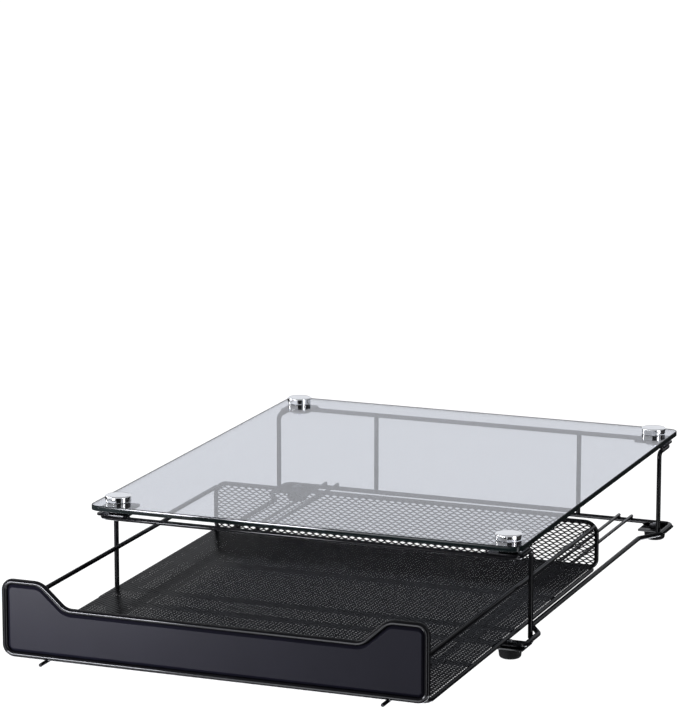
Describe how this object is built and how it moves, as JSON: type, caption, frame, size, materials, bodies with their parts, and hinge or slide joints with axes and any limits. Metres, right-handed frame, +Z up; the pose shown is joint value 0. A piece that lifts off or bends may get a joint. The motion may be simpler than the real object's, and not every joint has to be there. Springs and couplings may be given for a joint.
{
  "type": "coffee pod drawer",
  "caption": "Bent-wire frame on rubber feet with a clamped glass top and a wire-edged mesh tray that slides out to hold coffee pods.",
  "frame": {"origin": "on the surface that the feet stand on, under the middle of the whole part with the tray pulled out as it is stored", "axes": "+X to the right as seen from the front, +Y towards the back, +Z up; the tray opens towards -Y"},
  "size_m": [0.3266, 0.545, 0.0888],
  "materials": {
    "black_wire": "gloss",
    "black_mesh": "satin",
    "sheet_metal": "satin",
    "clear_glass": "polished",
    "chrome": "polished",
    "plated_steel": "satin",
    "rubber": "matte"
  },
  "bodies": {
    "frame": {"glass_top": "clear_glass", "front_arch": "black_wire", "rear_arch": "black_wire", "base_crossbar_front": "black_wire", "base_crossbar_rear": "black_wire", "base_side_left": "black_wire", "base_side_right": "black_wire", "upper_plate_front_left": "black_wire", "upper_plate_front_right": "black_wire", "upper_plate_rear_left": "black_wire", "upper_plate_rear_right": "black_wire", "foot_plate_front_left": "black_wire", "foot_plate_front_right": "black_wire", "foot_plate_rear_left": "black_wire", "foot_plate_rear_right": "black_wire", "foot_front_left": "rubber", "foot_front_right": "rubber", "foot_rear_left": "rubber", "foot_rear_right": "rubber", "knob_front_left": "chrome", "knob_front_right": "chrome", "knob_rear_left": "chrome", "knob_rear_right": "chrome", "gasket_front_left": "rubber", "gasket_front_right": "rubber", "gasket_rear_left": "rubber", "gasket_rear_right": "rubber", "clamp_nuts": "plated_steel", "foot_screws": "plated_steel", "foot_nuts": "plated_steel", "guide_rail_left_outer": "black_wire", "guide_rail_left_inner": "black_wire", "guide_rail_right_inner": "black_wire", "guide_rail_right_outer": "black_wire", "stop_wire_left": "black_wire", "stop_wire_right": "black_wire"},
    "tray": {"front_panel": "sheet_metal", "front_rim": "black_wire", "floor_loop": "black_wire", "floor_mesh": "black_mesh", "floor_cross_wires": "black_wire", "side_rail_left": "black_wire", "side_rail_right": "black_wire", "back_rim": "black_wire", "back_mesh": "black_mesh", "runner_left": "black_wire", "runner_right": "black_wire"}
  },
  "joints": [
    {"name": "tray_slide", "type": "slide", "parent": "frame", "child": "tray", "axis": [0, -1, 0], "range_m": [-0.1632, 0.1902]}
  ]
}
